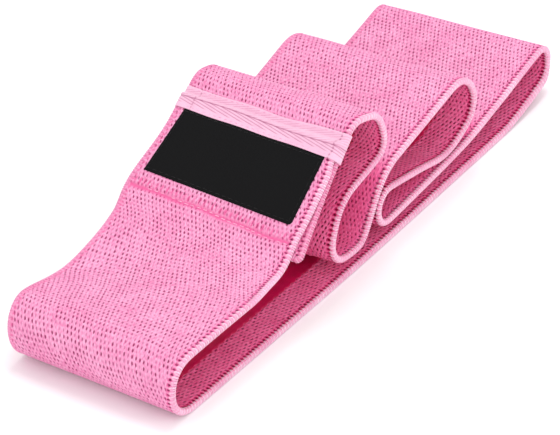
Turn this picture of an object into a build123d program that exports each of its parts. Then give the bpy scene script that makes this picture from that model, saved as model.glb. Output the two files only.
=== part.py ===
from build123d import *
import math
import os

# A closed loop of wide knitted elastic, laid down folded: one long run flat on the floor,
# a tall front fold, and a stack of three humps with two valleys between them.
# X runs along the folded length, Y across the band, Z up. The floor is Z = 0.

# Band
band_width = 76.0
band_thickness = 2.8
half_thickness = band_thickness / 2

# Overlock thread along the long edges and the inner end, flush with both faces
overlock_reach = 2.4
overlock_cover = 0.5
overlock_skin = 0.25
knit_width = band_width - 2 * overlock_cover
bare_width = band_width - 2 * overlock_reach

# Rubber cores that run lengthwise inside the knit
core_count = 22
core_pitch = 3.0
core_width = 1.8
core_thickness = 0.8

# Grip lining on the inner face
grip_width = 40.0
grip_thickness = 0.35
grip_ahead = 14.0
grip_past_seam = 3.0

# Lap joint: the upper end lies on the lower end, on a straight slope behind the front run
lap_angle = 43.0
lap_foot_x = -67.0
lap_foot_z = 28.6
lap_drop = 3.0
upper_end = 51.0
lower_end = 3.7
lap_crest = 61.8

# Seam across the lap, with its stitches sunk in a groove
seam_place = 9.0
groove_width = 1.8
groove_depth = 0.45

# Twill tape over the raw upper end, folded round both edges
tape_start = 45.0
tape_width = 11.6
tape_thickness = 0.7
tape_gap = 0.05
tape_return = 8.0
tape_ramp = 1.5

# Woven label on the upper layer
label_start = 16.2
label_height = 28.5
label_length = 66.0
label_thickness = 0.5
label_corner = 1.5

# Sewing thread
thread = 0.4
stitch_length = 2.3
stitch_pitch = 3.0
stitch_inset = 1.2

lap_cos = math.cos(math.radians(lap_angle))
lap_sin = math.sin(math.radians(lap_angle))


def lap_point(along, out):
    # A place on the lap: distance up the slope, and height out of the upper layer's middle
    return (lap_foot_x + along * lap_cos - out * lap_sin, lap_foot_z + along * lap_sin + out * lap_cos)


def lap_surface(along, out):
    # A plane that lies on the lap, with its own X across the band
    x, z = lap_point(along, out)
    return Plane(origin=(x, 0, z), x_dir=(0, 1, 0), z_dir=(-lap_sin, 0, lap_cos))


# Side view of the lap, seen from the near edge: its own X up the slope, its own Y out of it
lap_side = Plane(origin=(lap_foot_x, 0, lap_foot_z), x_dir=(lap_cos, 0, lap_sin), z_dir=(0, -1, 0))

# Middle line of the band from its upper end to its lower end: x, z and radius of each bend.
# The inner face of the loop is on the left of this line all the way.
floor_run = half_thickness
bends = [
    (lap_foot_x, lap_foot_z, 20.0),
    (-105.0, 24.6, 80.0),
    # front fold
    (-145.2, 25.4, 10.5),
    (-143.4, floor_run, 12.5),
    # back hump
    (105.0, floor_run, 80.0),
    (144.6, 8.0, 7.4),
    (144.3, 23.6, 7.4),
    # back valley
    (79.0, 11.5, 150.0),
    (1.2, 8.6, 7.2),
    (-1.4, 26.5, 7.6),
    # middle hump
    (57.0, 13.5, 34.0),
    (83.0, 24.0, 10.0),
    (70.5, 46.2, 16.5),
    (4.0, 34.0, 24.0),
    # front valley
    (-11.5, 8.5, 7.0),
    (-39.0, 10.0, 10.5),
    (-27.5, 37.5, 16.0),
    # front hump
    (6.5, 44.0, 6.0),
    (-3.4, 64.8, 17.0),
    (*lap_point(lap_crest, -lap_drop), 9.0),
]


def route(first, last):
    # The middle line between two end points
    return [(*first, 0.0), *bends, (*last, 0.0)]


def shifted(line, distance):
    # The same line moved sideways, to its left if the distance is positive
    steps = [(b[0] - a[0], b[1] - a[1]) for a, b in zip(line, line[1:])]
    lefts = [(-dz / math.hypot(dx, dz), dx / math.hypot(dx, dz)) for dx, dz in steps]
    before = [lefts[0], *lefts]
    after = [*lefts, lefts[-1]]
    moved = []
    for (x, z, radius), a, b in zip(line, before, after):
        scale = distance / (1 + a[0] * b[0] + a[1] * b[1])
        turn = a[0] * b[1] - a[1] * b[0]
        bent = radius - math.copysign(1, turn) * distance
        moved.append((x + (a[0] + b[0]) * scale, z + (a[1] + b[1]) * scale, bent))
    return moved


def draw_layer(line, low, high):
    # Closed outline of a layer that follows the line, between two distances from it
    ends = []
    for distance in (low, high):
        corners = shifted(line, distance)
        FilletPolyline(*[(x, z) for x, z, _ in corners], radius=[r for _, _, r in corners[1:-1]])
        ends.append((corners[0][:2], corners[-1][:2]))
    Line(ends[0][0], ends[1][0])
    Line(ends[0][1], ends[1][1])


upper_tip = lap_point(upper_end, 0)
webbing_route = route(upper_tip, lap_point(lower_end, -lap_drop))
edge_route = route(upper_tip, lap_point(lower_end + overlock_reach - overlock_cover, -lap_drop))
wrapped_half = half_thickness - overlock_skin


def core_planes():
    # One plane for each rubber core, at the side of it that faces +Y
    first = -(core_count - 1) / 2 * core_pitch - core_width / 2
    return [Plane.XZ.offset(first + number * core_pitch) for number in range(core_count)]


# Rubber cores: flat threads laid in the knit, which make the band stretch
with BuildPart() as rubber_cores:
    with BuildSketch(*core_planes()):
        with BuildLine():
            draw_layer(webbing_route, -core_thickness / 2, core_thickness / 2)
        make_face()
    extrude(amount=core_width)
rubber_cores.part.label = "rubber_cores"

# Knitted webbing: one strip, thinner where the overlock wraps it, with a tunnel for each core
with BuildPart() as knitted_webbing:
    with BuildSketch(Plane.XZ):
        with BuildLine():
            draw_layer(edge_route, -half_thickness, half_thickness)
        make_face()
    extrude(amount=bare_width / 2, both=True)
    with BuildSketch(Plane.XZ):
        with BuildLine():
            draw_layer(webbing_route, -wrapped_half, wrapped_half)
        make_face()
    extrude(amount=knit_width / 2, both=True)
    # groove that the seam pulls into the upper layer
    with BuildSketch(lap_side):
        with Locations((seam_place, half_thickness)):
            Rectangle(groove_width, 2 * groove_depth)
    extrude(amount=bare_width / 2, both=True, mode=Mode.SUBTRACT)
    add(rubber_cores.part, mode=Mode.SUBTRACT)
knitted_webbing.part.label = "knitted_webbing"


def overlock_edge(side):
    # Thread wrapped over one long edge: side is -1 for the near edge and 1 for the far edge
    inner = Plane.XZ.offset(-side * bare_width / 2)
    with BuildPart() as edge:
        with BuildSketch(inner):
            with BuildLine():
                draw_layer(edge_route, -half_thickness, half_thickness)
            make_face()
        extrude(amount=-side * overlock_reach)
        with BuildSketch(inner):
            with BuildLine():
                draw_layer(edge_route, -wrapped_half, wrapped_half)
            make_face()
        extrude(amount=-side * (overlock_reach - overlock_cover), mode=Mode.SUBTRACT)
    return edge.part


near_edge_overlock = overlock_edge(-1)
near_edge_overlock.label = "near_edge_overlock"
far_edge_overlock = overlock_edge(1)
far_edge_overlock.label = "far_edge_overlock"

# Overlock over the raw lower end, which shows at the foot of the lap
with BuildPart() as inner_end_overlock:
    with BuildSketch(lap_side):
        with Locations((lower_end - overlock_cover, -lap_drop)):
            Rectangle(overlock_reach, band_thickness, align=(Align.MIN, Align.CENTER))
    extrude(amount=band_width / 2, both=True)
    with BuildSketch(lap_side):
        with Locations((lower_end, -lap_drop)):
            Rectangle(overlock_reach, 2 * wrapped_half, align=(Align.MIN, Align.CENTER))
    extrude(amount=knit_width / 2, both=True, mode=Mode.SUBTRACT)
inner_end_overlock.part.label = "inner_end_overlock"

# Grip lining: a thin rubbery strip bonded to the inner face, from in front of the lap to its far side
front_slope = (bends[1][1] - lap_foot_z) / (bends[1][0] - lap_foot_x)
lining_start = (lap_foot_x - grip_ahead, lap_foot_z - grip_ahead * front_slope)
lining_end = lap_point(seam_place + grip_past_seam, -lap_drop)
with BuildPart() as grip_lining:
    with BuildSketch(Plane.XZ):
        with BuildLine():
            draw_layer([(*lining_start, 0.0), *bends[1:], (*lining_end, 0.0)],
                       half_thickness, half_thickness + grip_thickness)
        make_face()
    extrude(amount=grip_width / 2, both=True)
grip_lining.part.label = "grip_lining"

# Twill tape: over the raw upper end, down both sides of the lap and folded under it
tape_low = half_thickness + tape_gap
tape_top = tape_low + tape_thickness
step_start = upper_end + tape_gap
step_end = step_start + tape_ramp
tape_end = tape_start + tape_width
tape_under = -lap_drop - half_thickness - tape_gap
tape_side = band_width / 2 + tape_gap
with BuildPart() as twill_tape:
    with BuildSketch(lap_side):
        with BuildLine():
            Polyline(
                (tape_start, tape_low),
                (step_start, tape_low),
                (step_end, tape_low - lap_drop),
                (tape_end, tape_low - lap_drop),
                (tape_end, tape_top - lap_drop),
                (step_end + tape_gap, tape_top - lap_drop),
                (step_start + tape_gap, tape_top),
                (tape_start, tape_top),
                close=True,
            )
        make_face()
    extrude(amount=tape_side, both=True)
    for side in (-1, 1):
        with BuildSketch(lap_side.offset(side * tape_side)):
            with BuildLine():
                Polyline(
                    (tape_start, tape_under - tape_thickness),
                    (tape_end, tape_under - tape_thickness),
                    (tape_end, tape_top - lap_drop),
                    (step_end + tape_gap, tape_top - lap_drop),
                    (step_start + tape_gap, tape_top),
                    (tape_start, tape_top),
                    close=True,
                )
            make_face()
        extrude(amount=side * tape_thickness)
        with BuildSketch(lap_side.offset(side * tape_side)):
            with Locations((tape_start, tape_under)):
                Rectangle(tape_width, tape_thickness, align=(Align.MIN, Align.MAX))
        extrude(amount=-side * tape_return)
twill_tape.part.label = "twill_tape"

# Woven label, flat on the upper layer
label_middle = label_start + label_height / 2
label_plane = lap_surface(label_middle, half_thickness)
with BuildPart() as label_patch:
    with BuildSketch(label_plane):
        RectangleRounded(label_length, label_height, label_corner)
    extrude(amount=label_thickness)
label_patch.part.label = "label_patch"


def stitch_row(plane, length):
    # A straight row of stitches across the band, lying on a plane
    count = int(length / stitch_pitch)
    with BuildPart() as row:
        with BuildSketch(plane):
            with GridLocations(stitch_pitch, stitch_pitch, count, 1):
                SlotOverall(stitch_length, thread)
        extrude(amount=thread)
    return row.part


# Stitches that hold the label, one straight row inside each of its edges
stitched_length = label_length - 2 * stitch_inset
stitched_height = label_height - 2 * stitch_inset
long_count = int((stitched_length - stitch_length) / stitch_pitch)
short_count = int((stitched_height - stitch_length) / stitch_pitch)
with BuildPart() as label_stitching:
    with BuildSketch(label_plane.offset(label_thickness)):
        with GridLocations(stitch_pitch, stitched_height, long_count, 2):
            SlotOverall(stitch_length, thread)
        with GridLocations(stitched_length, stitch_pitch, 2, short_count):
            SlotOverall(stitch_length, thread, rotation=90)
    extrude(amount=thread)
label_stitching.part.label = "label_stitching"

# Stitches along both edges of the tape
upper_tape_row = lap_surface(tape_end - stitch_inset, tape_top - lap_drop)
tape_stitching_upper = stitch_row(upper_tape_row, band_width)
tape_stitching_upper.label = "tape_stitching_upper"
lower_tape_row = lap_surface(tape_start + stitch_inset, tape_top)
tape_stitching_lower = stitch_row(lower_tape_row, band_width)
tape_stitching_lower.label = "tape_stitching_lower"

# Seam across the foot of the lap: one row in the groove and one on the inside of the loop
seam_top = lap_surface(seam_place, half_thickness - groove_depth)
seam_under = lap_surface(seam_place, -lap_drop - half_thickness - thread)
lap_seam_stitching = Compound(
    label="lap_seam_stitching",
    children=[stitch_row(seam_top, bare_width), stitch_row(seam_under, bare_width)],
)

os.makedirs("parts", exist_ok=True)
export_step(rubber_cores.part, "parts/rubber_cores.step")
export_step(knitted_webbing.part, "parts/knitted_webbing.step")
export_step(near_edge_overlock, "parts/near_edge_overlock.step")
export_step(far_edge_overlock, "parts/far_edge_overlock.step")
export_step(inner_end_overlock.part, "parts/inner_end_overlock.step")
export_step(grip_lining.part, "parts/grip_lining.step")
export_step(twill_tape.part, "parts/twill_tape.step")
export_step(label_patch.part, "parts/label_patch.step")
export_step(label_stitching.part, "parts/label_stitching.step")
export_step(tape_stitching_upper, "parts/tape_stitching_upper.step")
export_step(tape_stitching_lower, "parts/tape_stitching_lower.step")
export_step(lap_seam_stitching, "parts/lap_seam_stitching.step")
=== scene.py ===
import math

import bpy
import numpy as np
from mathutils import Matrix, Vector


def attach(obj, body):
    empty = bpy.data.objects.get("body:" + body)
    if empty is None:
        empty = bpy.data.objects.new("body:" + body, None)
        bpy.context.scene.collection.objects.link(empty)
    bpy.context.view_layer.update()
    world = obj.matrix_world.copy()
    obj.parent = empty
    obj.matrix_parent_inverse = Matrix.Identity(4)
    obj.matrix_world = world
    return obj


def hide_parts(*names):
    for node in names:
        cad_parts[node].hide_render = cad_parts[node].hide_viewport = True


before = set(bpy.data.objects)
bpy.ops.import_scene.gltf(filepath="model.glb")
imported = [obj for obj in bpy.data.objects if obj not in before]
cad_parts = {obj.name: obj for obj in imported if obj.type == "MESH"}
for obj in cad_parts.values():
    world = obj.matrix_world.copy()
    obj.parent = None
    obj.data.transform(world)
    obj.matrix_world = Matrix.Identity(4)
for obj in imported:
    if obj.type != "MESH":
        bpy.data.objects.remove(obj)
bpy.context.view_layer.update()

# The band is worked out in millimetres and built in metres.
# s runs along the strip from its upper end to its lower end, v across it (near edge negative),
# and w out of it (outer face positive).
MM = 0.001
rng = np.random.default_rng(7)

# ---------------- dimensions

BAND_WIDTH = 76.0
HALF_WIDTH = 38.0
HALF_THICK = 1.4

# Lap joint: the same place as in the CAD at the near edge, a little flatter at the far edge
LAP_FOOT = (-67.0, 28.6)
NEAR_LAP_ANGLE = 43.0
FAR_LAP_ANGLE = 37.5
FAR_LAP_LIFT = 2.0
LAP_DROP = 3.0
UPPER_END = 51.0
LOWER_END = 3.7
LAP_CREST = 62.3
SEAM_PLACE = 9.1

# Knit: slots stand in columns across the band, each second column half a step lower
COLUMN_PITCH = 2.0
SLOT_PITCH = 1.72
SLOT_HALF_LENGTH = 0.68
SLOT_HALF_WIDTH = 0.36
SLOT_LEAN = 0.25
KNIT_HALF = 37.41
OVERLOCK_START = 36.05
KNIT_FLOOR = 0.42
SLOT_DEPTH = 0.45

# Rubber cores between the two faces
CORE_COUNT = 22
CORE_PITCH = 3.0
CORE_HALF_WIDTH = 0.9
CORE_HALF = 0.38

# Overlock: a tooth of two threads to each needle hole, from a little after the upper end on
TOOTH_PITCH = 1.9
EDGE_BEGINS = 0.6
NEEDLE_START = 1.9
NEEDLE_INSET = 1.75
UNDER_OVERLOCK = 1.22
CORNER = 3.0

# Grip lining, from just past the seam to just short of the lower end
GRIP_HALF = 23.6
GRIP_AHEAD = 14.0
GRIP_SHORT = 8.0
SCALLOP_PITCH = 4.1

# ---------------- route of the strip


def lap_line(along, out, share):
    """A place on the lap in side view, at the near edge (share 0) or the far edge (share 1)."""
    turn = math.radians(FAR_LAP_ANGLE if share else NEAR_LAP_ANGLE)
    x = LAP_FOOT[0] + along * math.cos(turn) - out * math.sin(turn)
    z = LAP_FOOT[1] + along * math.sin(turn) + out * math.cos(turn) + share * FAR_LAP_LIFT
    return (x, z)


# Bends of the middle line at the near edge: x, z, radius, and how far the far edge is from there in x and z
bends = [
    (*LAP_FOOT, 20.0, 0.0, FAR_LAP_LIFT),
    (-89.0, 25.7, 50.0, -16.0, -1.8),
    # front fold
    (-145.2, 25.4, 10.5, 0.8, 0.3),
    (-143.4, 1.4, 12.5, 0.8, 0.0),
    # back hump
    (105.0, 1.4, 80.0, -7.0, 0.0),
    (144.6, 8.0, 7.4, -7.0, 0.0),
    (144.3, 23.6, 7.4, -7.0, 2.4),
    # back valley
    (79.0, 11.5, 150.0, -5.0, 1.5),
    (1.2, 8.6, 7.2, -5.0, 0.0),
    (-1.4, 26.5, 7.6, -4.5, 0.0),
    # middle hump
    (57.0, 13.5, 34.0, -6.0, 1.0),
    (83.0, 24.0, 10.0, -7.0, 1.5),
    (70.9, 45.1, 16.5, -7.4, 3.6),
    (4.0, 34.0, 24.0, -3.5, -0.5),
    # front valley
    (-11.5, 8.5, 7.0, -5.0, 0.0),
    (-39.0, 10.0, 10.5, -5.0, 0.0),
    (-27.5, 37.5, 16.0, -2.0, -1.0),
    # front hump
    (6.5, 44.0, 6.0, 1.0, -2.0),
    (0.2, 63.0, 15.0, 0.0, -0.6),
]


def side_corners(share):
    """Corners of the middle line at the near edge (share 0) or the far edge (share 1)."""
    middle = [(x + share * dx, z + share * dz) for x, z, _, dx, dz in bends]
    crest = lap_line(LAP_CREST, -LAP_DROP, share)
    return [lap_line(UPPER_END, 0, share), *middle, crest, lap_line(LOWER_END, -LAP_DROP, share)]


def rounded(corners, radii, counts=None):
    """Points along the corners' runs and bends, and how many each was given."""
    line = [np.array(c) for c in corners]
    arcs = []
    for before, corner, after, radius in zip(line, line[1:], line[2:], radii):
        back = (before - corner) / np.linalg.norm(before - corner)
        on = (after - corner) / np.linalg.norm(after - corner)
        angle = math.acos(float(back @ on))
        reach = radius / math.tan(angle / 2)
        centre = corner + (back + on) / np.linalg.norm(back + on) * radius / math.sin(angle / 2)
        arcs.append((corner + back * reach, corner + on * reach, centre, math.pi - angle, radius))
    given = []
    points = []

    def share_of(length):
        number = len(given)
        given.append(counts[number] if counts else max(2, int(length / 0.5)))
        return (np.arange(given[-1]) / given[-1])[:, None]

    start = line[0]
    for first, last, centre, turn, radius in arcs:
        t = share_of(np.linalg.norm(first - start))
        points.append(start + (first - start) * t)
        t = share_of(turn * radius)
        spun = np.sin((1 - t) * turn) * (first - centre) + np.sin(t * turn) * (last - centre)
        points.append(centre + spun / math.sin(turn))
        start = last
    t = share_of(np.linalg.norm(line[-1] - start))
    points.append(start + (line[-1] - start) * t)
    points.append(line[-1][None])
    return np.concatenate(points), given


def eased(points, spread=4):
    """The line with its changes of curvature softened."""
    reach = 4 * spread
    kernel = np.exp(-np.arange(-reach, reach + 1) ** 2 / (2 * spread**2))
    kernel /= kernel.sum()
    head = points[0] + (points[1] - points[0]) * np.arange(-reach, 0)[:, None]
    tail = points[-1] + (points[-1] - points[-2]) * np.arange(1, reach + 1)[:, None]
    padded = np.concatenate([head, points, tail])
    return np.stack([np.convolve(padded[:, i], kernel, "valid") for i in (0, 1)], -1)


bend_radii = [bend[2] for bend in bends] + [9.0]
near_line, leg_counts = rounded(side_corners(0), bend_radii)
far_line, _ = rounded(side_corners(1), bend_radii, leg_counts)
near_line, far_line = eased(near_line), eased(far_line)
steps_taken = (np.linalg.norm(np.diff(near_line, axis=0), axis=1)
               + np.linalg.norm(np.diff(far_line, axis=0), axis=1)) / 2
route_s = np.concatenate([[0], np.cumsum(steps_taken)])
LENGTH = float(route_s[-1])
near_slope = np.gradient(near_line, route_s, axis=0)
far_slope = np.gradient(far_line, route_s, axis=0)


def along(table, s):
    """A table's pairs of values at distances along the strip."""
    return np.stack([np.interp(s, route_s, table[:, i]) for i in (0, 1)], -1)


def smooth(t):
    t = np.clip(t, 0, 1)
    return t * t * (3 - 2 * t)


def bump_at(t, middle, width):
    return np.exp(-(((t - middle) / width) ** 2))


def plan_bow(x, z):
    """How far the folded band curves sideways, less along the floor, and the slope of that curve."""
    lift = np.exp((x + 20) / 20)
    share = 0.58 + 0.42 * smooth(z / 14)
    return -1.2 + 0.88 * share * np.log1p(lift), 0.044 * share * lift / (1 + lift)


def side_shift(s, share):
    """How far the strip is moved sideways, at the near edge (share 0) or the far edge (share 1)."""
    up = UPPER_END - s
    near = 0.9 * bump_at(up, 8, 8) - 0.5 * smooth((up - 15) / 30) + 1.2 * smooth((up - 38) / 8)
    far = 4.5 * bump_at(up, 9, 18) - 0.5 * smooth((up - 24) / 18) + 3.3 * bump_at(s, 114, 18)
    below = LOWER_END + LENGTH - s
    moved = -2.8 * np.clip(1 - (below - 3) / 50, 0, 1) ** 1.6
    return near * (1 - share) + far * share + moved


mean_height = (near_line[:, 1] + far_line[:, 1]) / 2


def waves(s, v):
    """Small unevenness of the free strands, none on the floor or in the lap."""
    free = smooth((np.interp(s, route_s, mean_height) - 3) / 7)
    free = free * smooth((s - 58) / 20) * smooth((LENGTH - 66 - s) / 25)
    wave = np.sin(s / 9.1 + v / 23 + 1) * np.sin(v / 14.5 + s / 61)
    wave = wave + 0.6 * np.sin(s / 17.3 - v / 11 + 2)
    return 0.22 * free * wave


def place(s, v, w):
    """Points in the row frame, in millimetres."""
    s, v, w = np.broadcast_arrays(s, v, w)
    share = (v + HALF_WIDTH) / BAND_WIDTH
    blend = share[..., None]
    middle = along(near_line, s) * (1 - blend) + along(far_line, s) * blend
    slope = along(near_slope, s) * (1 - blend) + along(far_slope, s) * blend
    slope /= np.linalg.norm(slope, axis=-1, keepdims=True)
    out = w + waves(s, v)
    x = middle[..., 0] + out * slope[..., 1]
    z = middle[..., 1] - out * slope[..., 0]
    y = v + side_shift(s, share)
    bow, turn = plan_bow(x, z)
    return np.stack([x - y * turn, y + bow, np.maximum(z, 0.0)], -1)


def on_lap(up, y, out):
    """Points on the lap in millimetres: up the slope, across, and out of the upper layer's middle."""
    up, y, out = np.broadcast_arrays(up, y, out)
    share = (y + HALF_WIDTH) / BAND_WIDTH
    ends = [np.stack(lap_line(up, out, side), -1) for side in (0, 1)]
    flat = ends[0] * (1 - share[..., None]) + ends[1] * share[..., None]
    bow, turn = plan_bow(flat[..., 0], flat[..., 1])
    return np.stack([flat[..., 0] - y * turn, y + bow, flat[..., 1]], -1)


def station(x_wanted):
    """Distance along the strip where its floor run passes an x."""
    floor = np.flatnonzero(near_line[:, 1] < 1.45)
    return float(np.interp(x_wanted, near_line[floor, 0], route_s[floor]))


def bend_place(number, after=False):
    """Distance along the strip where one of the bends begins, or where it ends."""
    return float(route_s[sum(leg_counts[:2 * number + (2 if after else 1)])])


# the two stretches whose outer face lies folded together, by the numbers of their first and last bends; there
# painted shade and pink bounce light deepen the outer face's pink
VALLEYS = ((bend_place(7), bend_place(10, after=True)), (bend_place(13), bend_place(17)))
VALLEY_EDGE = 14.0


def valley_shade_share(s):
    """1 deep in a valley, where painted shade and pink bounce light deepen the outer face's pink, and 0
    outside the valleys.
    """
    depth = [smooth((s - begin) / VALLEY_EDGE) * smooth((end - s) / VALLEY_EDGE) for begin, end in VALLEYS]
    return np.maximum(*depth)


# ---------------- knit relief

hash_table = rng.random((64, 64))


def irregular(s, v):
    """Slow drift of the knit's columns and rows."""
    drift = 0.35 * np.sin(s / 7.3 + np.sin(v / 9) * 2) + 0.25 * np.sin(v / 5.1 + s / 23)
    rise = 0.22 * np.sin(v / 6.2 + 2 * np.sin(s / 19)) + 0.18 * np.sin(s / 11.7 + v / 31)
    return drift, rise


def slots(s, v):
    """How deep a place is in a slot, 0 to 1, and how open that slot is."""
    drift, rise = irregular(s, v)
    first = (v + rise) / SLOT_PITCH + (s + drift) / (2 * COLUMN_PITCH)
    second = (v + rise) / SLOT_PITCH - (s + drift) / (2 * COLUMN_PITCH)
    i, j = np.rint(first).astype(int), np.rint(second).astype(int)
    openness = 0.2 + 0.8 * hash_table[i % 64, (j * 7 + i // 64) % 64]
    off_s = (first - i - second + j) * COLUMN_PITCH
    off_v = (first - i + second - j) * SLOT_PITCH / 2
    reach = (off_s / SLOT_HALF_LENGTH) ** 2 + ((off_v + SLOT_LEAN * off_s) / SLOT_HALF_WIDTH) ** 2
    return smooth(1.25 - 0.85 * reach) * openness, openness


def seam_line(v):
    """Where the seam's groove runs on the lap."""
    return SEAM_PLACE + 1.2 * v / HALF_WIDTH + 0.25 * np.sin(v / 3.1) + 0.2 * np.sin(v / 7.7 + 1)


def knit_face(s, v, side):
    """Height of a knitted face over the strip's middle, how open the knit is, and its mark.

    side is 1 for the outer face and -1 for the inner one. The mark is up to 0.5 in the seam's groove, where
    it paints shade, and up to 1 in a needle hole.
    """
    slot, openness = slots(s, v)
    edge = smooth((np.abs(v) - OVERLOCK_START + 0.3) / 0.6)
    height = HALF_THICK - SLOT_DEPTH * slot
    mark = 0 * s
    if side > 0:
        up = UPPER_END - s
        line = seam_line(v)
        groove = bump_at(up, line, 1.0)
        pull = bump_at(up, line, 4.5)
        tick = (0.5 + 0.5 * np.cos(2 * np.pi * (v + 0.4 * np.sin(v / 2.3)) / 2.05)) ** 3
        tick = tick * smooth((up - line - 0.9) / 0.7) * smooth((line + 4.6 - up) / 1.6)
        height = height - 0.55 * groove - 0.3 * pull - 0.38 * tick * (0.4 + 0.6 * openness)
        height = height + 0.14 * groove * np.sin(v / 0.55 + 2 * np.sin(v / 4))
        # the groove's mark turns it rose: painted shade in the seam's crease
        mark = np.maximum(0.9 * tick * openness, 0.5 * groove)
    else:
        rim = bump_at(np.abs(v), GRIP_HALF + 0.9, 0.6)
        scallop = (0.5 + 0.5 * np.cos(2 * np.pi * s / SCALLOP_PITCH + np.sign(v))) ** 0.7
        height = height + 0.42 * rim * scallop
    # holes between the overlock's teeth, wide open only along the near edge
    needle = bump_at(np.abs(v), KNIT_HALF - NEEDLE_INSET, 0.62)
    stitch = needle * (0.5 + 0.5 * np.cos(2 * np.pi * (s - NEEDLE_START) / TOOTH_PITCH + np.pi)) ** 2
    height = height * (1 - edge) + edge * UNDER_OVERLOCK - 0.5 * stitch
    mark = np.maximum(mark * (1 - edge), np.where(v > 0, 0.5, 1.9) * stitch)
    return np.maximum(height, KNIT_FLOOR + 0.1), openness * (1 - edge), np.clip(mark, 0, 1)


# ---------------- mesh building


def grid_quads(rows, cols, first=0):
    """Faces of a grid of points, whose first point has the number first."""
    i, j = np.meshgrid(np.arange(rows - 1), np.arange(cols - 1), indexing="ij")
    a = (first + i * cols + j).ravel()
    return np.stack([a, a + 1, a + cols + 1, a + cols], -1)


def ring_quads(rings, sides):
    """Faces between rings of points, one ring after another."""
    first = np.arange(rings - 1)[:, None] * sides
    here = np.arange(sides)[None, :]
    beside = (here + 1) % sides
    corners = [first + here, first + sides + here, first + sides + beside, first + beside]
    return np.stack(corners, -1).reshape(-1, 4)


def sheet_quads(rows, cols):
    """Faces of a thin sheet: a grid of points, the same grid again behind it, and walls round the border."""
    front = grid_quads(rows, cols)
    behind = rows * cols
    border = np.concatenate([
        np.arange(cols),
        np.arange(1, rows) * cols + cols - 1,
        (rows - 1) * cols + np.arange(cols - 2, -1, -1),
        np.arange(rows - 2, 0, -1) * cols,
    ])
    follow = np.roll(border, -1)
    walls = np.stack([border, border + behind, follow + behind, follow], -1)
    return np.concatenate([front, front[:, ::-1] + behind, walls])


def make_piece(name, points, quads, material, extras=(), strip=None, mark=None, painted_valley_shade=None):
    """A mesh object from points in millimetres, quads as an array, and other faces as a list.

    strip, mark and the share of painted valley shade are values at its points, which its material reads.
    """
    mesh = bpy.data.meshes.new(name)
    extras = list(extras)
    sizes = np.concatenate([np.full(len(quads), 4), [len(f) for f in extras]]).astype(np.int32)
    loops = np.concatenate([np.asarray(quads).ravel(), *[np.asarray(f) for f in extras]]).astype(np.int32)
    mesh.vertices.add(len(points))
    mesh.vertices.foreach_set("co", (np.asarray(points) * MM).astype(np.float32).ravel())
    mesh.loops.add(len(loops))
    mesh.loops.foreach_set("vertex_index", loops)
    mesh.polygons.add(len(sizes))
    starts = np.concatenate([[0], np.cumsum(sizes)[:-1]]).astype(np.int32)
    mesh.polygons.foreach_set("loop_start", starts)
    mesh.polygons.foreach_set("use_smooth", np.ones(len(sizes), bool))
    mesh.update(calc_edges=True)
    mesh.validate()
    if strip is not None:
        layer = mesh.attributes.new("strip", "FLOAT_VECTOR", "POINT")
        layer.data.foreach_set("vector", strip.astype(np.float32).ravel())
    for label, values in (("mark", mark), ("painted_valley_shade", painted_valley_shade)):
        if values is not None:
            layer = mesh.attributes.new(label, "FLOAT", "POINT")
            layer.data.foreach_set("value", values.astype(np.float32).ravel())
    mesh.materials.append(material)
    piece = bpy.data.objects.new(name, mesh)
    bpy.context.scene.collection.objects.link(piece)
    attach(piece, "root")
    return piece


def slab(name, rows_s, cols_v, height_of, side, backing, material, edge_of=None):
    """A closed slab of the strip: a relief face on one side, a plain back, and walls between them.

    side is 1 for an outer face and -1 for an inner one. edge_of gives the share of its width it keeps.
    """
    s, v = np.meshgrid(rows_s, cols_v, indexing="ij")
    if edge_of is not None:
        v = v * edge_of(s)
    height, openness, mark = height_of(s, v)
    face = place(s, v, side * height).reshape(-1, 3)
    rows, cols = s.shape
    back_s = np.stack([s[:, 0], s[:, -1]], -1)
    back_v = np.stack([v[:, 0], v[:, -1]], -1)
    back = place(back_s, back_v, side * backing).reshape(-1, 3)
    base = rows * cols
    quads = [grid_quads(rows, cols)]
    quads.append(grid_quads(rows, 2, base)[:, ::-1])
    i = np.arange(rows - 1)
    quads.append(np.stack([i * cols, (i + 1) * cols, base + 2 * i + 2, base + 2 * i], -1))
    last = i * cols + cols - 1
    quads.append(np.stack([last + cols, last, base + 2 * i + 1, base + 2 * i + 3], -1))
    quads = np.concatenate(quads)
    extras = []
    half = cols // 2
    for row, flip in ((0, True), (rows - 1, False)):
        low, high = base + 2 * row, base + 2 * row + 1
        fan = [(row * cols + j, row * cols + j + 1, low if j < half else high) for j in range(cols - 1)]
        fan.append((row * cols + half, high, low))
        extras += [f[::-1] for f in fan] if flip else fan
    if side < 0:
        quads = quads[:, ::-1]
        extras = [f[::-1] for f in extras]
    drift, rise = irregular(s, v)
    strip = np.concatenate([
        np.stack([s + drift, v + rise, openness], -1).reshape(-1, 3),
        np.stack([back_s, back_v, 0 * back_s], -1).reshape(-1, 3),
    ])
    marks = np.concatenate([mark.ravel(), np.zeros(back_s.size)])
    # share of painted shade and pink bounce light on the outer face, full deep in the valleys
    valley_shade_shares = valley_shade_share(np.concatenate([s.ravel(), back_s.ravel()]))
    return make_piece(name, np.concatenate([face, back]), quads, material, extras, strip, marks, valley_shade_shares)


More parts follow.
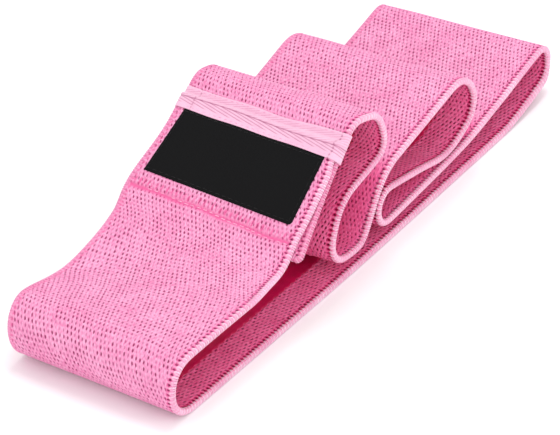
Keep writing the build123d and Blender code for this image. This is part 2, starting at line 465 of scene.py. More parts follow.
def tubes(paths, radii, leans, sides=6):
    """Many short threads: paths is (threads, stations, 3), radii (stations, 2), leans their width's way."""
    count, stations, _ = paths.shape
    tangent = np.gradient(paths, axis=1)
    tangent /= np.linalg.norm(tangent, axis=-1, keepdims=True)
    lean = np.broadcast_to(leans[:, None, :], paths.shape)
    wide = lean - (lean * tangent).sum(-1, keepdims=True) * tangent
    wide /= np.linalg.norm(wide, axis=-1, keepdims=True)
    high = np.cross(tangent, wide)
    turn = np.arange(sides) / sides * 2 * np.pi
    ring = (wide[:, :, None, :] * np.cos(turn)[None, None, :, None] * radii[None, :, 0, None, None]
            + high[:, :, None, :] * np.sin(turn)[None, None, :, None] * radii[None, :, 1, None, None])
    points = (paths[:, :, None, :] + ring).reshape(-1, 3)
    points[:, 2] = np.maximum(points[:, 2], 0.0)
    i, j = np.meshgrid(np.arange(stations - 1), np.arange(sides), indexing="ij")
    a = (i * sides + j).ravel()
    b = (i * sides + (j + 1) % sides).ravel()
    one = np.stack([a, b, b + sides, a + sides], -1)
    starts = np.arange(count) * stations * sides
    quads = (one[None] + starts[:, None, None]).reshape(-1, 4)
    cap = np.arange(sides)
    extras = []
    for start in starts:
        extras.append(start + cap[::-1])
        extras.append(start + (stations - 1) * sides + cap)
    return points, quads, extras


def joined(parts):
    """Several sets of points, quads and other faces as one."""
    points, quads, extras, first = [], [], [], 0
    for more_points, more_quads, more_extras in parts:
        points.append(more_points)
        quads.append(np.asarray(more_quads) + first)
        extras += [np.asarray(f) + first for f in more_extras]
        first += len(more_points)
    return np.concatenate(points), np.concatenate(quads), extras


# ---------------- materials


class Nodes:
    """A material's node tree, built with short calls."""

    def __init__(self, name, roughness, sheen=0.0, specular=0.3):
        self.material = bpy.data.materials.new(name)
        self.material.use_nodes = True
        self.tree = self.material.node_tree
        self.shader = next(n for n in self.tree.nodes if n.type == "BSDF_PRINCIPLED")
        self.shader.inputs["Roughness"].default_value = roughness
        self.shader.inputs["Sheen Weight"].default_value = sheen
        self.shader.inputs["Specular IOR Level"].default_value = specular

    def join(self, value, socket):
        if isinstance(value, bpy.types.NodeSocket):
            self.tree.links.new(value, socket)
        else:
            socket.default_value = value

    def math(self, kind, *values):
        node = self.tree.nodes.new("ShaderNodeMath")
        node.operation = kind
        for value, socket in zip(values, node.inputs):
            self.join(value, socket)
        return node.outputs[0]

    def attribute(self, name):
        node = self.tree.nodes.new("ShaderNodeAttribute")
        node.attribute_name = name
        split = self.tree.nodes.new("ShaderNodeSeparateXYZ")
        self.tree.links.new(node.outputs["Vector"], split.inputs[0])
        return split.outputs

    def number(self, name):
        node = self.tree.nodes.new("ShaderNodeAttribute")
        node.attribute_name = name
        return node.outputs["Fac"]

    def object_place(self):
        return self.tree.nodes.new("ShaderNodeTexCoord").outputs["Object"]

    def vector(self, x, y, z=0.0):
        node = self.tree.nodes.new("ShaderNodeCombineXYZ")
        for value, socket in zip((x, y, z), node.inputs):
            self.join(value, socket)
        return node.outputs[0]

    def noise(self, where, scale, detail=2.0, rough=0.5):
        node = self.tree.nodes.new("ShaderNodeTexNoise")
        self.join(where, node.inputs["Vector"])
        node.inputs["Scale"].default_value = scale
        node.inputs["Detail"].default_value = detail
        node.inputs["Roughness"].default_value = rough
        return node.outputs[0]

    def ramp(self, value, stops):
        node = self.tree.nodes.new("ShaderNodeValToRGB")
        ramp = node.color_ramp
        ramp.elements[0].position, ramp.elements[0].color = stops[0]
        ramp.elements[1].position, ramp.elements[1].color = stops[-1]
        for position, colour in stops[1:-1]:
            ramp.elements.new(position).color = colour
        self.join(value, node.inputs[0])
        return node.outputs[0]

    def mix(self, share, first, second):
        node = self.tree.nodes.new("ShaderNodeMix")
        node.data_type = "RGBA"
        self.join(share, node.inputs["Factor"])
        self.join(first, node.inputs[6])
        self.join(second, node.inputs[7])
        return node.outputs[2]

    def square(self, value):
        return self.math("POWER", self.math("ABSOLUTE", value), 2.0)

    def wave(self, phase):
        """A smooth crest once per whole number of the phase."""
        crest = self.math("COSINE", self.math("MULTIPLY", phase, 2 * math.pi))
        return self.math("MULTIPLY_ADD", crest, 0.5, 0.5)

    def finish(self, colour, height, depth):
        """depth is the bump's height in millimetres for a height of 1."""
        self.join(colour, self.shader.inputs["Base Color"])
        node = self.tree.nodes.new("ShaderNodeBump")
        node.inputs["Strength"].default_value = 1.0
        node.inputs["Distance"].default_value = depth * MM
        self.join(height, node.inputs["Height"])
        self.tree.links.new(node.outputs["Normal"], self.shader.inputs["Normal"])
        return self.material


def rgb(red, green, blue):
    """An sRGB colour, 0 to 255, as linear values."""
    linear = []
    for value in (red / 255, green / 255, blue / 255):
        linear.append(value / 12.92 if value <= 0.04045 else ((value + 0.055) / 1.055) ** 2.4)
    return (*linear, 1.0)


def knit_material(name, light, deep, hole, rose, needle, valley_shade_colours=None):
    """Heathered knit: its yarn, slots, seam groove (rose, painted shade in the groove) and needle holes, and
    a deeper pink in the valleys that is painted shade and pink bounce light.
    """
    nodes = Nodes(name, roughness=0.9, sheen=0.03, specular=0.06)
    s, v, openness = nodes.attribute("strip")
    rows = nodes.math("DIVIDE", v, SLOT_PITCH)
    columns = nodes.math("DIVIDE", s, 2 * COLUMN_PITCH)
    first = nodes.math("ADD", rows, columns)
    second = nodes.math("SUBTRACT", rows, columns)
    # how far a place is from the middle of its slot, along it and across it
    first_off = nodes.math("SUBTRACT", first, nodes.math("ROUND", first))
    second_off = nodes.math("SUBTRACT", second, nodes.math("ROUND", second))
    off_s = nodes.math("MULTIPLY", nodes.math("SUBTRACT", first_off, second_off), COLUMN_PITCH)
    off_v = nodes.math("MULTIPLY", nodes.math("ADD", first_off, second_off), SLOT_PITCH / 2)
    off_v = nodes.math("MULTIPLY_ADD", off_s, SLOT_LEAN, off_v)
    # filaments that lean like the slots, flecks of the heathered yarn, and slow drift of its colour
    across = nodes.math("MULTIPLY_ADD", s, SLOT_LEAN, v)
    fibre_place = nodes.vector(nodes.math("MULTIPLY", s, 0.55), nodes.math("MULTIPLY", across, 2.6))
    fibres = nodes.noise(fibre_place, 1.0, 3.0, 0.6)
    fleck_place = nodes.vector(nodes.math("MULTIPLY", s, 0.8), nodes.math("MULTIPLY", across, 1.5), 3.0)
    flecks = nodes.noise(fleck_place, 1.0, 2.0, 0.7)
    cloudy = nodes.noise(nodes.vector(s, v, 9.0), 0.09, 2.0)
    tone = nodes.math("MULTIPLY_ADD", fibres, 0.7, nodes.math("MULTIPLY_ADD", flecks, 0.7, -0.2))
    tone = nodes.math("ADD", tone, nodes.math("MULTIPLY_ADD", cloudy, 0.25, -0.125))
    yarn = nodes.ramp(tone, [(0.3, deep), (0.7, light)])
    # painted shade and pink bounce light: the yarn turns a deeper pink in the valleys
    if valley_shade_colours:
        shaded_valley_light, shaded_valley_deep = valley_shade_colours
        valley_shaded_yarn = nodes.ramp(tone, [(0.3, shaded_valley_deep), (0.7, shaded_valley_light)])
        yarn = nodes.mix(nodes.number("painted_valley_shade"), yarn, valley_shaded_yarn)
    reach_s = nodes.square(nodes.math("DIVIDE", off_s, SLOT_HALF_LENGTH))
    reach_v = nodes.square(nodes.math("DIVIDE", off_v, SLOT_HALF_WIDTH))
    slot = nodes.math("MULTIPLY_ADD", nodes.math("ADD", reach_s, reach_v), -0.85, 1.2)
    slot = nodes.math("MAXIMUM", nodes.math("MINIMUM", slot, 1.0), 0.0)
    slot = nodes.math("MULTIPLY", slot, nodes.math("MINIMUM", nodes.math("MULTIPLY", openness, 1.15), 0.95))
    mark = nodes.number("mark")
    # the mark leads first to rose, which is painted shade in the seam's groove and the colour of shallow
    # needle holes, and then to the needle hole's colour
    to_rose = nodes.math("MINIMUM", nodes.math("MULTIPLY", mark, 2.0), 1.0)
    to_needle = nodes.math("MAXIMUM", nodes.math("MULTIPLY_ADD", mark, 2.0, -1.0), 0.0)
    colour = nodes.mix(to_rose, nodes.mix(slot, yarn, hole), rose)
    colour = nodes.mix(to_needle, colour, needle)
    slot = nodes.math("MAXIMUM", slot, mark)
    height = nodes.math("MULTIPLY_ADD", fibres, 0.6, nodes.math("MULTIPLY", slot, -0.7))
    return nodes.finish(colour, height, 0.25)


def thread_material(name, light, deep, shaded=None):
    """Thread; shaded is its colour where the piece's mark is 1."""
    nodes = Nodes(name, roughness=0.7, sheen=0.1, specular=0.2)
    where = nodes.object_place()
    speckle = nodes.noise(where, 1500.0, 2.0, 0.7)
    cloudy = nodes.noise(where, 60.0, 2.0)
    tone = nodes.math("MULTIPLY_ADD", speckle, 0.6, nodes.math("MULTIPLY", cloudy, 0.4))
    colour = nodes.ramp(tone, [(0.4, deep), (0.62, light)])
    if shaded:
        colour = nodes.mix(nodes.number("mark"), colour, shaded)
    return nodes.finish(colour, speckle, 0.08)


knit_outer = knit_material(
    "knit_outer",
    light=rgb(240, 174, 207),
    deep=rgb(214, 112, 159),
    hole=rgb(142, 40, 86),
    # rose: painted shade in the seam's groove, and shallow needle holes
    rose=rgb(222, 100, 152),
    needle=rgb(80, 18, 48),
    # deeper pink in the valleys: painted shade and pink bounce light
    valley_shade_colours=(rgb(252, 130, 182), rgb(220, 72, 132)),
)
# the inner face's knit is a deeper, more saturated pink than the outer face's: painted shade and pink bounce
# light inside the folds
knit_inner_painted_shade = knit_material(
    "knit_inner_painted_shade",
    light=rgb(254, 140, 188),
    deep=rgb(218, 68, 128),
    hole=rgb(92, 0, 38),
    rose=rgb(200, 40, 100),
    needle=rgb(60, 0, 24),
)
overlock_thread = thread_material(
    "overlock_thread", rgb(240, 204, 222), rgb(228, 164, 194), shaded=rgb(214, 108, 152))
far_thread = thread_material(
    "far_overlock_thread", rgb(236, 164, 198), rgb(212, 122, 164), shaded=rgb(206, 108, 152))
tape_thread = thread_material("tape_sewing_thread", rgb(247, 186, 214), rgb(222, 140, 180))
black_sewing = thread_material("black_sewing_thread", rgb(18, 18, 19), rgb(9, 9, 10))


def core_material():
    nodes = Nodes("natural_rubber", roughness=0.55, specular=0.4)
    grain = nodes.noise(nodes.object_place(), 900.0, 3.0)
    colour = nodes.ramp(grain, [(0.3, rgb(214, 200, 178)), (0.7, rgb(232, 220, 200))])
    return nodes.finish(colour, grain, 0.05)


def grip_material():
    nodes = Nodes("grip_rubber", roughness=0.48, specular=0.45)
    s, v, _ = nodes.attribute("strip")
    grain = nodes.noise(nodes.vector(s, v), 3.0, 4.0, 0.6)
    cloudy = nodes.noise(nodes.vector(s, v, 5.0), 0.25, 2.0)
    tone = nodes.math("MULTIPLY_ADD", grain, 0.5, nodes.math("MULTIPLY", cloudy, 0.5))
    colour = nodes.ramp(tone, [(0.3, rgb(172, 2, 64)), (0.7, rgb(210, 8, 90))])
    ribs = nodes.wave(v)
    height = nodes.math("MULTIPLY_ADD", ribs, 0.3, nodes.math("MULTIPLY", grain, 0.7))
    return nodes.finish(colour, height, 0.1)


def tape_material():
    nodes = Nodes("twill_tape", roughness=0.62, sheen=0.3, specular=0.3)
    up, y, mark = nodes.attribute("strip")
    fibre = nodes.noise(nodes.vector(nodes.math("MULTIPLY", up, 7.0), y), 1.0, 3.0)
    cloudy = nodes.noise(nodes.vector(up, y, 4.0), 0.2, 2.0)
    tone = nodes.math("MULTIPLY_ADD", fibre, 0.5, nodes.math("MULTIPLY", cloudy, 0.5))
    yarn = nodes.ramp(tone, [(0.3, rgb(222, 164, 192)), (0.68, rgb(234, 184, 208))])
    colour = nodes.mix(nodes.math("MULTIPLY", mark, 0.85), yarn, rgb(160, 84, 120))
    return nodes.finish(colour, fibre, 0.06)


def label_material():
    nodes = Nodes("woven_label", roughness=0.8, specular=0.1)
    p, q, _ = nodes.attribute("strip")
    ribs = nodes.wave(nodes.math("DIVIDE", p, 0.34))
    picks = nodes.wave(nodes.math("ADD", nodes.math("DIVIDE", q, 0.42), nodes.math("DIVIDE", p, 0.68)))
    fibre = nodes.noise(nodes.vector(p, nodes.math("MULTIPLY", q, 3.0)), 1.5, 3.0)
    tone = nodes.math("MULTIPLY_ADD", picks, 0.15, nodes.math("MULTIPLY", fibre, 0.6))
    tone = nodes.math("MULTIPLY_ADD", ribs, 0.15, tone)
    colour = nodes.ramp(tone, [(0.25, rgb(10, 10, 11)), (0.75, rgb(22, 22, 23))])
    return nodes.finish(colour, tone, 0.08)


grip_rubber = grip_material()
natural_rubber = core_material()
twill = tape_material()
woven_black = label_material()

# ---------------- webbing

# The outer face needs no relief where it lies on the floor, and little of it inside the lap
floor_begins = station(-128.0)
floor_ends = station(100.0)
# Where the strip's mesh is divided in two, on the floor run
SPLIT = round(station(90.0) / COLUMN_PITCH) * COLUMN_PITCH
KNIT_STEP = COLUMN_PITCH / 4
ROW_STEP = SLOT_PITCH / 4
hidden_lap = LENGTH + LOWER_END - 46.0


def rows_between(*stops):
    """Rows along the strip: (where a stretch ends, its step), from the first number on."""
    begin, rows = stops[0], []
    for end, step in stops[1:]:
        rows.append(np.arange(begin, end - step / 4, step))
        begin = end
    return np.concatenate([*rows, [begin]])


def near_step(value, step):
    """The whole number of steps nearest to a value."""
    return round(value / step) * step


def corner_trim(s):
    """Share of its width that the strip keeps, less near the rounded corners of the lower end."""
    over = np.clip((s - (LENGTH - CORNER)) / CORNER, 0, 1)
    return 1 - CORNER * (1 - np.sqrt(1 - over**2)) / KNIT_HALF


full_cols = np.arange(-87, 88) * ROW_STEP
edge_cols = np.arange(44, 88) * ROW_STEP
lined_cols = np.concatenate([-edge_cols[::-1], np.linspace(-edge_cols[0], edge_cols[0], 12)[1:-1], edge_cols])

outer_front_rows = rows_between(0.0, (near_step(floor_begins, 0.5), KNIT_STEP), (SPLIT, 2.0))
outer_back_rows = rows_between(
    SPLIT,
    (near_step(floor_ends, 0.5), 2.0),
    (near_step(hidden_lap, 0.5), KNIT_STEP),
    (LENGTH - CORNER, 1.0),
    (LENGTH, 0.3),
)
inner_front_rows = rows_between(0.0, (SPLIT, KNIT_STEP))
inner_back_rows = rows_between(
    SPLIT,
    (near_step(LENGTH - 62.0, 0.5), KNIT_STEP),
    (LENGTH - CORNER, 1.0),
    (LENGTH, 0.3),
)


def knitted(name, rows, side):
    """A stretch of the outer face (side 1) or the inner face (side -1), which is coarse under the lining."""
    cols, material = (full_cols, knit_outer) if side > 0 else (lined_cols, knit_inner_painted_shade)

    def height_of(s, v):
        return knit_face(s, v, side)

    return slab(name, rows, cols, height_of, side, KNIT_FLOOR, material, corner_trim)


outer_front = knitted("outer_knit_front_run", outer_front_rows, 1)
outer_back = knitted("outer_knit_humps", outer_back_rows, 1)
inner_front = knitted("inner_knit_front_run", inner_front_rows, -1)
inner_back = knitted("inner_knit_humps", inner_back_rows, -1)
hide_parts("knitted_webbing")

# Rubber cores between the two knitted faces
core_rows = rows_between(0.5, (LENGTH - 1.0, 2.0))
core_parts = []
core_corners = [(-1, -1), (1, -1), (1, 1), (-1, 1)]
for number in range(CORE_COUNT):
    middle = (number - (CORE_COUNT - 1) / 2) * CORE_PITCH
    rings = np.stack([place(core_rows, middle + across * CORE_HALF_WIDTH, out * CORE_HALF)
                      for across, out in core_corners], 1)
    last = (len(core_rows) - 1) * 4
    ends = [[0, 1, 2, 3], [last + 3, last + 2, last + 1, last]]
    quads = np.concatenate([ring_quads(len(core_rows), 4), ends])
    core_parts.append((rings.reshape(-1, 3), quads, []))
cores = make_piece("rubber_cores_laid", *joined(core_parts)[:2], natural_rubber)
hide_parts("rubber_cores")

# ---------------- grip lining

lining_rows = rows_between(UPPER_END + GRIP_AHEAD, (LENGTH - GRIP_SHORT, SCALLOP_PITCH / 6))
lining_cols = np.concatenate([[-GRIP_HALF, -GRIP_HALF + 0.35], np.linspace(-22.1, 22.1, 12),
                              [GRIP_HALF - 0.35, GRIP_HALF]])


def lining_height(s, v):
    """Height of the lining's face, thinner at its edges, with no slots and no marks."""
    rim = smooth((np.abs(v) - GRIP_HALF + 0.5) / 0.5)
    ribs = 0.03 * np.cos(v * 2.1) + 0.03 * np.sin(s / 1.9 + v)
    return HALF_THICK + 0.33 + ribs - 0.25 * rim, 0 * s, 0 * s


def lining_edge(s):
    """Share of its width that the lining keeps at each place of its scalloped edge."""
    wave = np.abs(np.sin(np.pi * s / SCALLOP_PITCH + 0.3 * np.sin(s / 13)))
    return 1 + (0.75 * wave - 0.5) / GRIP_HALF


lining = slab("grip_lining_strip", lining_rows, lining_cols, lining_height, -1, HALF_THICK - 0.45,
              grip_rubber, lining_edge)
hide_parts("grip_lining")

# ---------------- overlock


def edge_track(side):
    """Where an edge's overlock runs: s, v, and the direction into the webbing, round the lower corner."""
    run = LENGTH - CORNER
    straight = np.arange(EDGE_BEGINS, run, 0.05)
    turn = np.linspace(0, np.pi / 2, 90)
    s = np.concatenate([straight, run + CORNER * np.sin(turn)])
    v = np.concatenate([np.full_like(straight, KNIT_HALF), KNIT_HALF - CORNER + CORNER * np.cos(turn)])
    into_s = np.concatenate([0 * straight, -np.sin(turn)])
    into_v = np.concatenate([0 * straight - 1, -np.cos(turn)])
    return np.stack([s, side * v, into_s, side * into_v], -1)


def end_track():
    """Where the lower end's overlock runs, between the corners."""
    v = np.arange(-KNIT_HALF + CORNER, KNIT_HALF - CORNER, 0.05)
    return np.stack([0 * v + LENGTH, v, 0 * v - 1, 0 * v], -1)


# Half of a thread over the edge, from its needle hole to the rim: how far in from the edge, how high,
# how far it leans along the edge, and its half width and half thickness. The other half mirrors it.
half_loop = np.array([
    (1.4, 0.6, 1.0, 0.2, 0.18),
    (1.2, 1.14, 0.92, 0.36, 0.24),
    (0.8, 1.25, 0.6, 0.42, 0.27),
    (0.35, 1.16, 0.2, 0.46, 0.27),
    (-0.2, 0.8, 0.0, 0.48, 0.27),
    (-0.38, 0.27, 0.0, 0.48, 0.27),
])
other_half = half_loop[::-1] * (1, -1, 1, 1, 1)
loop_inward, loop_rise, loop_lean, loop_width, loop_height = np.concatenate([half_loop, other_half]).T


def lower_layer(s):
    """How much pinker the overlock is: half at the lower end of the strip, not at all before the lap."""
    return 0.5 * smooth((s - LENGTH + 62) / 16)


def overlock(track):
    """Pairs of threads over an edge, spread from each needle hole, and the braided bead along the edge."""
    lengths = np.concatenate([[0], np.cumsum(np.hypot(np.diff(track[:, 0]), np.diff(track[:, 1])))])

    def at(t):
        return np.stack([np.interp(t, lengths, track[:, i]) for i in range(4)], -1)

    holes = np.arange(NEEDLE_START - EDGE_BEGINS, lengths[-1] - 0.3, TOOTH_PITCH)
    holes = holes + rng.normal(0, 0.05, len(holes))
    inset = rng.normal(0, 0.12, (len(holes), 1))
    parts, marks = [], []
    for lean, shade in ((-TOOTH_PITCH / 4, 0.0), (TOOTH_PITCH / 4, 0.3)):
        slant = 1 - loop_lean * (0.85 + rng.normal(0, 0.12, (len(holes), 1)))
        spot = at(np.clip(holes[:, None] + lean * slant, 0, lengths[-1]))
        inward = loop_inward + inset * (loop_inward > 1)
        paths = place(spot[..., 0] + spot[..., 2] * inward, spot[..., 1] + spot[..., 3] * inward, loop_rise)
        before, after = (at(np.clip(holes + lean + step, 0, lengths[-1])) for step in (-0.3, 0.3))
        leans = place(after[:, 0], after[:, 1], 0) - place(before[:, 0], before[:, 1], 0)
        leans /= np.linalg.norm(leans, axis=-1, keepdims=True)
        parts.append(tubes(paths, np.stack([loop_width, loop_height], -1), leans, 5))
        marks.append(np.repeat(shade + lower_layer(spot[..., 0]), 5))
    # the bead, a ring of points at each step
    t = np.arange(0, lengths[-1], TOOTH_PITCH / 4)
    spot = at(t)[:, None, :]
    sides = 8
    turn = np.arange(sides)[None, :] / sides * 2 * np.pi
    braid = 1 + 0.11 * np.cos(2 * np.pi * t[:, None] / (TOOTH_PITCH / 2) + turn)
    inward = 0.3 - 0.55 * np.cos(turn) * braid
    high = 1.1 * np.sin(turn) * braid
    points = place(spot[..., 0] + spot[..., 2] * inward, spot[..., 1] + spot[..., 3] * inward, high)
    caps = [np.arange(sides)[::-1], (len(t) - 1) * sides + np.arange(sides)]
    parts.append((points.reshape(-1, 3), ring_quads(len(t), sides), caps))
    shade = 0.35 + 0.2 * np.cos(2 * np.pi * t[:, None] / TOOTH_PITCH + turn)
    marks.append((shade + lower_layer(spot[..., 0])).ravel())
    return (*joined(parts), np.clip(np.concatenate(marks), 0, 1))


def overlock_piece(name, node, track, material):
    points, quads, extras, marks = overlock(track)
    piece = make_piece(name, points, quads, material, extras, mark=marks)
    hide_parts(node)
    return piece


near_overlock = overlock_piece("near_overlock_thread", "near_edge_overlock", edge_track(-1), overlock_thread)
far_overlock = overlock_piece("far_overlock_thread", "far_edge_overlock", edge_track(1), far_thread)
overlock_piece("lower_end_overlock_thread", "inner_end_overlock", end_track(), overlock_thread)

# ---------------- tape

TAPE_START = 45.2
TAPE_SPAN = 10.6
TAPE_THICK = 0.5
# its fold line, and where it steps down from the upper layer's end to the lower layer
TAPE_SPINE = 50.4
STEP_START = 51.1
STEP_LENGTH = 2.2
upper_top = HALF_THICK + 0.12
lower_top = -LAP_DROP + HALF_THICK + 0.12
under = -LAP_DROP - HALF_THICK - 0.2
tape_ups = np.linspace(0, 1, 62)
tape_samples = 560


def tape_end_at(y):
    """How far up the lap the tape's upper edge is."""
    return 55.6 + 1.5 * smooth((-y - 8) / 34) + 0.15 * np.sin(y / 6)


def tape_section(share):
    """The tape's path at one place of its width, from under the band's far edge to under its near edge."""
    up = TAPE_START + share * TAPE_SPAN
    folded = 1 - smooth((up - STEP_START) / STEP_LENGTH)
    top = upper_top - LAP_DROP * smooth((up - STEP_START) / STEP_LENGTH)
    s_upper = UPPER_END - min(up, UPPER_END)
    s_lower = LENGTH - (up - LOWER_END)
    far_upper = HALF_WIDTH + float(side_shift(s_upper, 1.0)) - 0.2
    far_lower = HALF_WIDTH + float(side_shift(s_lower, 1.0)) - 0.2
    near_upper = -HALF_WIDTH + float(side_shift(s_upper, 0.0)) + 0.5
    near_lower = min(-HALF_WIDTH + float(side_shift(s_lower, 0.0)), near_upper) - 0.1
    far_top = far_upper * folded + far_lower * (1 - folded)
    corners = np.array([
        (far_lower - 8.0, under - 0.1),
        (far_lower - 0.8, under - 0.1),
        (far_lower, under + 0.5),
        (far_top, min(top - 1.0, -1.5)),
        (far_top - 0.1, top - 0.7),
        (far_top - 0.9, top),
        (near_upper + 1.0, top),
        (near_upper - 0.4, top - 0.5 * folded),
        (near_lower + 0.6, lower_top + 0.5 * folded),
        (near_lower, lower_top - 0.7),
        (near_lower, under + 0.6),
        (near_lower + 0.8, under - 0.1),
        (near_lower + 8.0, under - 0.1),
    ])
    gone = np.concatenate([[0], np.cumsum(np.linalg.norm(np.diff(corners, axis=0), axis=1))])
    t = np.linspace(0, gone[-1], tape_samples)
    path = np.stack([np.interp(t, gone, corners[:, i]) for i in (0, 1)], -1)
    return eased(path, 3)


sections = np.stack([tape_section(share) for share in tape_ups])
tape_y, tape_out = sections[..., 0], sections[..., 1]
tape_up = TAPE_START + tape_ups[:, None] * (tape_end_at(tape_y) - TAPE_START) + 0.12 * np.sin(tape_y / 4.3)
cross = np.gradient(sections, axis=1)
cross /= np.linalg.norm(cross, axis=-1, keepdims=True)
# the outward direction of its face, in y and height
face_y, face_out = cross[..., 1], -cross[..., 0]
spine = TAPE_SPINE + 0.35 * np.sin(tape_y / 9)
lower_lines = 0.5 + 0.5 * np.cos(2 * np.pi * (tape_up - 0.2 * tape_y) / 1.15)
upper_lines = 0.5 + 0.5 * np.cos(2 * np.pi * (tape_up + 0.34 * tape_y) / 1.05)
selvedge = smooth((tape_up - TAPE_START - 2.0) / 0.4)
selvedge = selvedge * smooth((tape_end_at(tape_y) - 0.7 - tape_up) / 0.5)
is_lower = 1 - smooth((tape_up - spine + 0.1) / 0.2)
lines = (is_lower * lower_lines**4 + (1 - is_lower) * upper_lines**2 * 0.5) * selvedge
groove = bump_at(tape_up, spine, 0.22)
# a column of stitches across it near each end
column = bump_at(tape_y, -35.3 + 0.3 * np.sin(tape_up), 0.3) + 0.8 * bump_at(tape_y, 30.2, 0.3)
column = column * (0.5 + 0.5 * np.cos(2 * np.pi * tape_up / 1.5)) ** 0.7
dip = 0.16 * lines + 0.22 * groove + 0.22 * column
mark = np.clip(0.8 * lines + 0.9 * groove + 0.9 * column, 0, 1)


def tape_points(lift):
    """The tape's points, raised by lift from its back."""
    return on_lap(tape_up, tape_y + face_y * lift, tape_out + face_out * lift).reshape(-1, 3)


tape_strip = np.stack([tape_up, tape_y, mark], -1).reshape(-1, 3)
tape = make_piece(
    "twill_tape_folded",
    np.concatenate([tape_points(TAPE_THICK - dip), tape_points(0.0)]),
    sheet_quads(*tape_y.shape),
    twill,
    strip=np.concatenate([tape_strip, tape_strip]),
)
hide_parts("twill_tape")

# ---------------- label

# Corners on the lap: up the slope, and across
FOOT_NEAR = np.array((15.6, -32.0))
FOOT_FAR = np.array((16.2, 37.2))
TOP_NEAR = np.array((45.1, -33.6))
TOP_FAR = np.array((45.5, 32.6))
LABEL_LENGTH = 67.0
LABEL_HEIGHT = 28.8
LABEL_THICK = 0.42
LABEL_ROUND = 1.6
label_p = np.linspace(0, 1, 200)
label_q = np.linspace(0, 1, 86)


def label_place(p, q, out):
    """A place on the label: p from its near to its far edge, q from its foot to its top."""
    p, q = p[..., None], q[..., None]
    foot = FOOT_NEAR * (1 - p) + FOOT_FAR * p
    top = TOP_NEAR * (1 - p) + TOP_FAR * p
    spot = foot * (1 - q) + top * q
    return on_lap(spot[..., 0], spot[..., 1], out)


p, q = np.meshgrid(label_p, label_q, indexing="ij")
across, upward = p * LABEL_LENGTH, q * LABEL_HEIGHT
from_side = np.minimum(np.minimum(p, 1 - p) * LABEL_LENGTH, np.minimum(q, 1 - q) * LABEL_HEIGHT)
# the weave teeth its top, its foot and its near side slightly
top_tooth = 0.16 * np.maximum(0, np.sin(2 * np.pi * across / 1.15)) * smooth((q - 0.985) / 0.015)
foot_tooth = 0.1 * np.maximum(0, np.sin(2 * np.pi * across / 1.3)) * smooth((0.012 - q) / 0.012)
side_tooth = 0.15 * np.maximum(0, np.sin(2 * np.pi * upward / 1.2)) * smooth((0.006 - p) / 0.006)
weave = 0.02 * np.cos(2 * np.pi * across / 0.68) + 0.02 * np.sin(p * 9 + q * 4)
# the near foot corner is cut round
inside_corner = np.maximum(LABEL_ROUND - across, 0) * np.maximum(LABEL_ROUND - upward, 0) > 0
reach = np.hypot(np.minimum(across - LABEL_ROUND, 0), np.minimum(upward - LABEL_ROUND, 0))
pull = np.where(inside_corner & (reach > LABEL_ROUND), LABEL_ROUND / np.maximum(reach, 1e-6), 1.0)
across = np.where(inside_corner, LABEL_ROUND + (across - LABEL_ROUND) * pull, across)
upward = np.where(inside_corner, LABEL_ROUND + (upward - LABEL_ROUND) * pull, upward)
p_out = (across - side_tooth) / LABEL_LENGTH
q_out = (upward + top_tooth - foot_tooth) / LABEL_HEIGHT
rim = 1 - smooth(from_side / 0.45)
sag = 0.08 * np.sin(p * 7) * np.sin(q * 5)
label_top = HALF_THICK + LABEL_THICK + weave + sag * smooth(from_side / 4) - 0.24 * rim
face = label_place(p_out, q_out, label_top).reshape(-1, 3)
back = label_place(p_out, q_out, HALF_THICK - 0.2 + 0 * p).reshape(-1, 3)
label_strip = np.stack([across, upward, 0 * p], -1).reshape(-1, 3)
label = make_piece(
    "woven_label_patch",
    np.concatenate([face, back]),
    sheet_quads(*p.shape)[:, ::-1],
    woven_black,
    strip=np.concatenate([label_strip, label_strip]),
)
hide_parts("label_patch")

# ---------------- sewing


def stitches(name, node, material, middles, directions, normals, length, radius):
    """Stitches that lie on a surface, each dipping into it at both ends."""
    t = np.array([-1.0, -0.8, -0.4, 0.0, 0.4, 0.8, 1.0]) * length / 2
    dips = np.array([-0.32, -0.06, 0.06, 0.1, 0.06, -0.06, -0.32])
    paths = middles[:, None] + directions[:, None] * t[None, :, None] + normals[:, None] * dips[None, :, None]
    wide = np.cross(normals, directions)
    sizes = np.stack([radius * np.array([0.7, 0.95, 1, 1, 1, 0.95, 0.7])] * 2, -1)
    points, quads, extras = tubes(paths, sizes, wide)
    piece = make_piece(name, points, quads, material, extras)
    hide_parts(node)
    return piece


def lap_directions(count):
    """The directions across the lap, up it and out of it, for each of some stitches."""
    a = math.radians((NEAR_LAP_ANGLE + FAR_LAP_ANGLE) / 2)
    out = np.tile([-math.sin(a), 0, math.cos(a)], (count, 1))
    up = np.tile([math.cos(a), 0, math.sin(a)], (count, 1))
    return np.tile([0.0, 1.0, 0.0], (count, 1)), up, out


STITCH_PITCH = 2.9
LABEL_MARGIN = 1.2

# label: rows just inside its four edges
row_p = np.arange(1.6, 65.6, STITCH_PITCH) / LABEL_LENGTH
col_q = np.arange(2.2, 27.0, STITCH_PITCH) / LABEL_HEIGHT
margin_p, margin_q = LABEL_MARGIN / LABEL_LENGTH, LABEL_MARGIN / LABEL_HEIGHT
spots_p = np.concatenate([row_p, row_p, 0 * col_q + margin_p, 0 * col_q + 1 - margin_p])
spots_q = np.concatenate([0 * row_p + margin_q, 0 * row_p + 1 - margin_q, col_q, col_q])
across_dir, up_dir, out_dir = lap_directions(len(spots_p))
is_row = np.arange(len(spots_p)) < 2 * len(row_p)
label_stitch = stitches(
    "label_sewing", "label_stitching", black_sewing,
    label_place(spots_p, spots_q, HALF_THICK + LABEL_THICK + 0 * spots_p),
    np.where(is_row[:, None], across_dir, up_dir), out_dir, 2.2, 0.13)


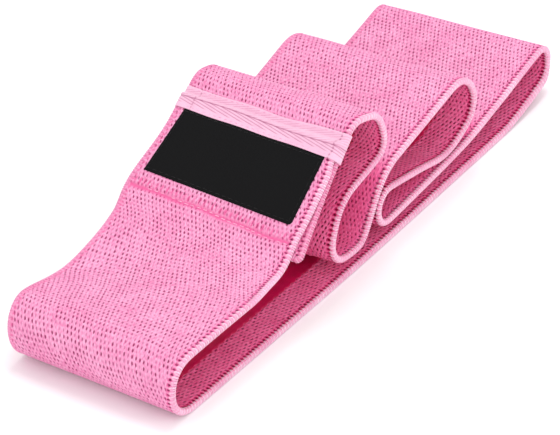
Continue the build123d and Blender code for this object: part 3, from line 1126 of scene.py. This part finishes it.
def tape_row(name, node, share):
    """A row of stitches along the tape's face, sunk between its ridges."""
    y = np.arange(-33.5, 34.0, 2.6)
    up = TAPE_START + share * (tape_end_at(y) - TAPE_START)
    step = smooth((TAPE_START + share * TAPE_SPAN - STEP_START) / STEP_LENGTH)
    out = upper_top - LAP_DROP * step + TAPE_THICK - 0.1
    directions, _, normals = lap_directions(len(y))
    spots = on_lap(up, y, out + 0 * y)
    stitches(name, node, tape_thread, spots, directions, normals, 2.0, 0.12)


tape_row("tape_sewing_upper", "tape_stitching_upper", 0.93)
tape_row("tape_sewing_lower", "tape_stitching_lower", 0.1)

# seam: one row in the groove, one on the inside of the loop
seam_y = np.arange(-32.5, 33.5, STITCH_PITCH)
directions, _, normals = lap_directions(len(seam_y) * 2)
seam_spots = np.concatenate([
    on_lap(seam_line(seam_y), seam_y, HALF_THICK - 0.85 + 0 * seam_y),
    on_lap(seam_line(seam_y), seam_y, -LAP_DROP - HALF_THICK - 0.35 + 0 * seam_y),
])
normals[len(seam_y):] *= -1
stitches("lap_seam_sewing", "lap_seam_stitching", tape_thread, seam_spots,
         directions, normals, 2.3, 0.2)

# ---------------- floor, light and camera

floor_mesh = bpy.data.meshes.new("floor")
reach = 4.0
floor_corners = [(-reach, -reach, 0), (reach, -reach, 0), (reach, reach, 0), (-reach, reach, 0)]
floor_mesh.from_pydata(floor_corners, [], [(0, 1, 2, 3)])
floor = bpy.data.objects.new("floor", floor_mesh)
bpy.context.scene.collection.objects.link(floor)
floor_nodes = Nodes("pale_floor", roughness=0.9, specular=0.1)
floor_grain = floor_nodes.noise(floor_nodes.object_place(), 40.0, 2.0)
floor_colour = floor_nodes.ramp(floor_grain, [(0.0, rgb(246, 245, 246)), (1.0, rgb(250, 250, 250))])
floor_mesh.materials.append(floor_nodes.finish(floor_colour, floor_grain, 0.02))

scene = bpy.context.scene
scene.view_settings.view_transform = "Standard"
world = bpy.data.worlds.new("studio")
world.use_nodes = True
background = world.node_tree.nodes["Background"]
background.inputs["Color"].default_value = (1.0, 1.0, 1.0, 1.0)
background.inputs["Strength"].default_value = 1.0
scene.world = world


def area_light(name, position, target, size, watts):
    """A round soft light that looks at a target, all in metres."""
    light = bpy.data.lights.new(name, "AREA")
    light.shape = "DISK"
    light.size = size
    light.energy = watts
    lamp = bpy.data.objects.new(name, light)
    lamp.location = position
    lamp.rotation_mode = "QUATERNION"
    lamp.rotation_quaternion = (Vector(target) - Vector(position)).to_track_quat("-Z", "Y")
    scene.collection.objects.link(lamp)


area_light("key", (0.3, 0.1, 1.4), (-0.02, 0, 0.02), 0.7, 7.0)
area_light("front_fill", (-1.2, -0.5, 0.45), (-0.05, 0, 0.02), 0.8, 3.5)
area_light("side_fill", (0.2, -1.3, 0.5), (0, 0, 0.02), 0.8, 4.0)

CAMERA_TURN = math.radians(-56.79)
CAMERA_TILT = math.radians(32.61)
CAMERA_DISTANCE = 1.6596
CAMERA_TARGET = Vector((-0.0131, 0.0, 0.0093))
camera_data = bpy.data.cameras.new("camera")
camera_data.sensor_width = 36.0
camera_data.lens = 267.7
camera_data.clip_end = 50.0
level = Vector((-math.sin(CAMERA_TURN), math.cos(CAMERA_TURN), 0))
right = Vector((math.cos(CAMERA_TURN), math.sin(CAMERA_TURN), 0))
ahead = level * math.cos(CAMERA_TILT) - Vector((0, 0, math.sin(CAMERA_TILT)))
upright = right.cross(ahead)
camera = bpy.data.objects.new("camera", camera_data)
turned = Matrix((right, upright, -ahead)).transposed().to_4x4()
camera.matrix_world = Matrix.Translation(CAMERA_TARGET - ahead * CAMERA_DISTANCE) @ turned
scene.collection.objects.link(camera)
scene.camera = camera
